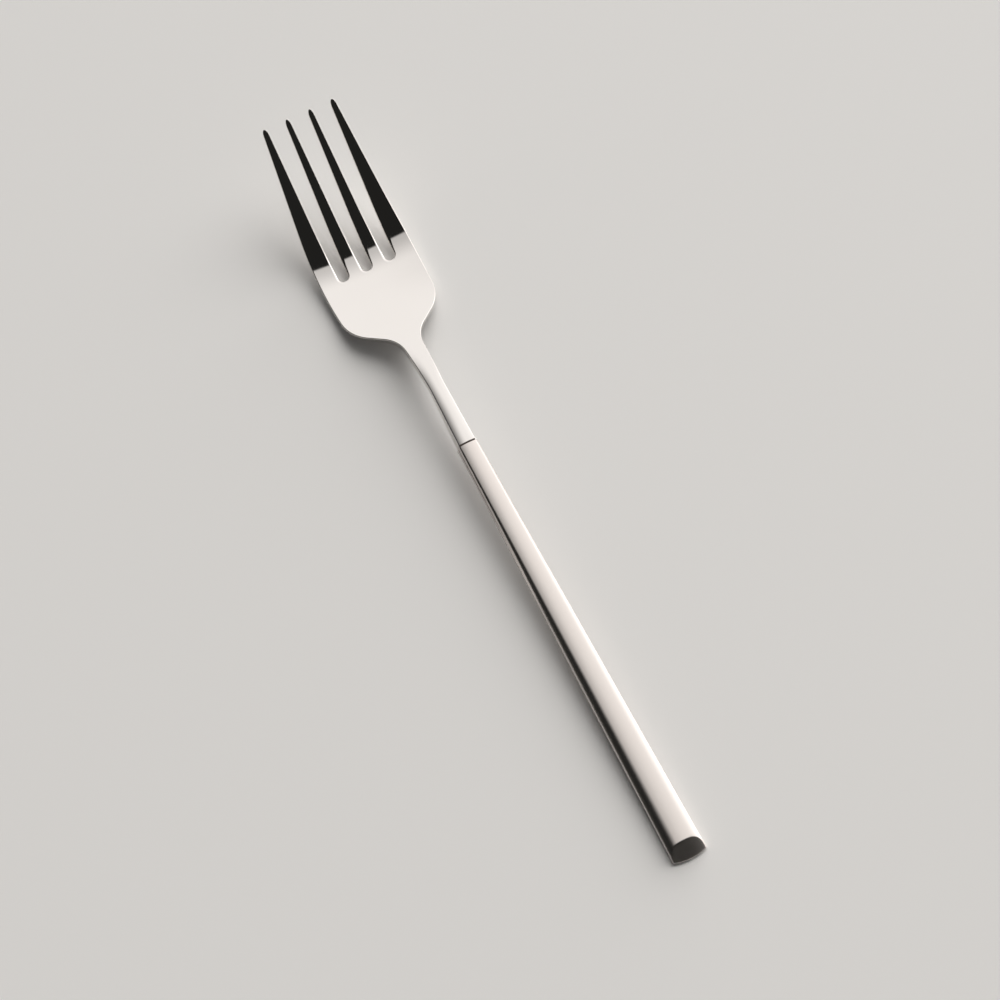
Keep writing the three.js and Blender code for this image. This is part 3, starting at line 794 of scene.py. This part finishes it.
def bump(tree, source, strength, distance):
    node = tree.nodes.new("ShaderNodeBump")
    node.inputs["Strength"].default_value = strength
    node.inputs["Distance"].default_value = distance
    tree.links.new(source, node.inputs["Height"])
    return node.outputs["Normal"]


def polished_steel():
    """Mirror polish with faint long haze and hairline wiping marks."""
    material, tree, shader = new_material("polished_steel")
    shader.inputs["Metallic"].default_value = 1
    haze = stretched_noise(tree, *HAZE)
    hairlines = stretched_noise(tree, *HAIRLINES)
    tree.links.new(tint(tree, haze, *POLISHED_TONES), shader.inputs["Base Color"])
    tree.links.new(spread(tree, hairlines, *POLISHED_ROUGHNESS), shader.inputs["Roughness"])
    tree.links.new(bump(tree, hairlines, *HAIRLINE_BUMP), shader.inputs["Normal"])
    return material


def satin_steel():
    """Satin blasted steel with a fine grain along the handle."""
    material, tree, shader = new_material("satin_steel")
    shader.inputs["Metallic"].default_value = 1
    cloud = stretched_noise(tree, *CLOUD)
    grain = stretched_noise(tree, *GRAIN)
    tree.links.new(tint(tree, cloud, *SATIN_TONES), shader.inputs["Base Color"])
    tree.links.new(spread(tree, grain, *SATIN_ROUGHNESS), shader.inputs["Roughness"])
    tree.links.new(bump(tree, grain, *GRAIN_BUMP), shader.inputs["Normal"])
    return material


def plain_matt(name, noise, tones, roughness):
    """Matt grainy stuff, for the joint line and for what fills the handle."""
    material, tree, shader = new_material(name)
    grain = stretched_noise(tree, *noise)
    tree.links.new(tint(tree, grain, *tones), shader.inputs["Base Color"])
    tree.links.new(spread(tree, grain, *roughness), shader.inputs["Roughness"])
    tree.links.new(bump(tree, grain, *MATT_BUMP), shader.inputs["Normal"])
    return material


def ferrule_steel():
    """Plain turned steel, hidden inside the handle."""
    material, tree, shader = new_material("ferrule_steel")
    shader.inputs["Metallic"].default_value = 1
    rings = stretched_noise(tree, *TURNED_RINGS)
    tree.links.new(tint(tree, rings, *FERRULE_TONES), shader.inputs["Base Color"])
    tree.links.new(spread(tree, rings, *FERRULE_ROUGHNESS), shader.inputs["Roughness"])
    return material


# Stage, light and camera

RIGHT = Vector((math.cos(FORK_TURN), -math.sin(FORK_TURN), 0))
AWAY = Vector((math.sin(FORK_TURN), math.cos(FORK_TURN), 0))
UP = Vector((0, 0, 1))

FLOOR_HALF = 3
FLOOR_TONE = (0.83, 0.815, 0.795)
FLOOR_ROUGHNESS = 0.55
BACKGROUND_TONE = (0.80, 0.79, 0.78)
BLACK = (0.0, 0.0, 0.0)

# Studio that the metal reflects: a bright sheet overhead, a window on the right, dark towards the camera
SHEET_TONE = (1.06, 1.04, 1.015)
WINDOW_TONE = (1.5, 1.48, 1.45)
DARK_HIGH_TONE = (0.016, 0.016, 0.015)
DARK_LOW_TONE = (0.05, 0.049, 0.046)
DARK_RISE = (0.2, 0.7)  # heights between which the dark side goes from its low to its high tone
SHEET_TURN = 0.24  # the sheet's near edge swings away towards the right
SHEET_EDGE = (-0.105, -0.075)  # where the sheet begins, counted away from the camera
SHEET_FADE = (-0.09, 0.25)  # from its edge to where it is fully bright
SHEET_EDGE_SHARE = 0.6  # brightness along the near edge
LEFT_LEAN = 0.6  # the left fade reaches less far on the far side
LEFT_FADE = (-0.48, 0.24)
WINDOW_RISE = (0.05, 0.8)  # the sheet grows brighter towards the window
GLARE_TONE = (2.4, 2.36, 2.3)
GLARE_EDGE = (0.5, 0.95)  # the window's brightest part, furthest to the right
WINDOW_LEAN = 1.3  # on the camera's side the window begins further to the right
WINDOW_EDGE = (0.2, 0.5)

# Soft light on the floor, brightest from the far side and a little from the right
KEY_AZIMUTH = math.radians(20)  # from straight away towards the right
KEY_ELEVATION = math.radians(25)
KEY_TONE = (4.9, 4.83, 4.74)
KEY_FADE = (math.cos(math.radians(48)), math.cos(math.radians(8)))
FILL_TONE = (0.12, 0.12, 0.12)


def make_floor():
    mesh = bpy.data.meshes.new("floor")
    half = FLOOR_HALF
    corners = [(-half, -half, 0), (half, -half, 0), (half, half, 0), (-half, half, 0)]
    mesh.from_pydata(corners, [], [(0, 1, 2, 3)])
    floor = bpy.data.objects.new("floor", mesh)
    bpy.context.scene.collection.objects.link(floor)
    material, tree, shader = new_material("floor_plaster")
    shader.inputs["Roughness"].default_value = FLOOR_ROUGHNESS
    shader.inputs["Base Color"].default_value = (*FLOOR_TONE, 1)
    mesh.materials.append(material)


def make_world():
    """Studio that the metal reflects, and a soft light for the floor; the camera sees a plain pale tone."""
    world = bpy.data.worlds.new("studio")
    bpy.context.scene.world = world
    world.use_nodes = True
    tree = world.node_tree
    nodes, links = tree.nodes, tree.links
    place = nodes.new("ShaderNodeTexCoord")

    def ramp(axis, edges, low=0, high=1):
        dot = nodes.new("ShaderNodeVectorMath")
        dot.operation = "DOT_PRODUCT"
        dot.inputs[1].default_value = axis
        links.new(place.outputs["Generated"], dot.inputs[0])
        fade = nodes.new("ShaderNodeMapRange")
        fade.interpolation_type = "SMOOTHSTEP"
        for name, value in zip(RAMP_INPUTS, (*edges, low, high)):
            fade.inputs[name].default_value = value
        links.new(dot.outputs["Value"], fade.inputs["Value"])
        return fade.outputs["Result"]

    def mix(factor, low, high):
        node = nodes.new("ShaderNodeMix")
        node.data_type = "RGBA"
        links.new(factor, node.inputs["Factor"])
        for name, tone in (("A", low), ("B", high)):
            if isinstance(tone, tuple):
                node.inputs[name].default_value = (*tone, 1)
            else:
                links.new(tone, node.inputs[name])
        return node.outputs["Result"]

    away = AWAY - RIGHT * SHEET_TURN
    dark = mix(ramp(UP, DARK_RISE), DARK_LOW_TONE, DARK_HIGH_TONE)
    near = mix(ramp(RIGHT + AWAY * WINDOW_LEAN, WINDOW_EDGE), dark, WINDOW_TONE)
    rising = mix(ramp(RIGHT, WINDOW_RISE), SHEET_TONE, WINDOW_TONE)
    bright = mix(ramp(RIGHT, GLARE_EDGE), rising, GLARE_TONE)
    faded = mix(ramp(away, SHEET_FADE, SHEET_EDGE_SHARE), BLACK, bright)
    sheet = mix(ramp(RIGHT + AWAY * LEFT_LEAN, LEFT_FADE), dark, faded)
    studio = mix(ramp(away, SHEET_EDGE), near, sheet)
    level = RIGHT * math.sin(KEY_AZIMUTH) + AWAY * math.cos(KEY_AZIMUTH)
    key = level * math.cos(KEY_ELEVATION) + UP * math.sin(KEY_ELEVATION)
    light = mix(ramp(key, KEY_FADE), FILL_TONE, KEY_TONE)
    path = nodes.new("ShaderNodeLightPath")
    lit = mix(path.outputs["Is Glossy Ray"], light, studio)
    seen = mix(path.outputs["Is Camera Ray"], lit, BACKGROUND_TONE)
    links.new(seen, nodes["Background"].inputs["Color"])


def make_camera():
    forward = AWAY * math.cos(CAMERA_ELEVATION) - UP * math.sin(CAMERA_ELEVATION)
    up = AWAY * math.sin(CAMERA_ELEVATION) + UP * math.cos(CAMERA_ELEVATION)
    aim = (RIGHT * AIM_RIGHT + AWAY * AIM_AWAY + Vector((0, PIVOT_Y - TIP_Y / 2, 0))) * MM
    data = bpy.data.cameras.new("camera")
    data.angle = FIELD_OF_VIEW
    data.clip_start = CLIP_START * MM
    camera = bpy.data.objects.new("camera", data)
    axes = Matrix((RIGHT, up, -forward)).transposed().to_4x4()
    camera.matrix_world = Matrix.Translation(aim - forward * CAMERA_DISTANCE * MM) @ axes
    bpy.context.scene.collection.objects.link(camera)
    bpy.context.scene.camera = camera


def dress_inside():
    """Finishes of the sealed pieces that stay as they are."""
    cement = plain_matt("cement", CEMENT_GRAIN, CEMENT_TONES, CEMENT_ROUGHNESS)
    for node, material in (("handle_filler", cement), ("handle_front_ferrule", ferrule_steel())):
        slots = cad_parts[node].data.materials
        slots.clear()
        slots.append(material)


bpy.context.scene.view_settings.view_transform = "Standard"
make_camera()
make_world()
make_floor()
polished = polished_steel()
satin = satin_steel()
# matt finish of the dark line across the top of the joint
joint_line_finish = plain_matt("joint_filler", JOINT_LINE_GRAIN, JOINT_LINE_TONES, JOINT_LINE_ROUGHNESS)
make_head(polished)
make_shell(satin)
make_cap(satin)
make_base(satin)
make_bead(joint_line_finish)
dress_inside()
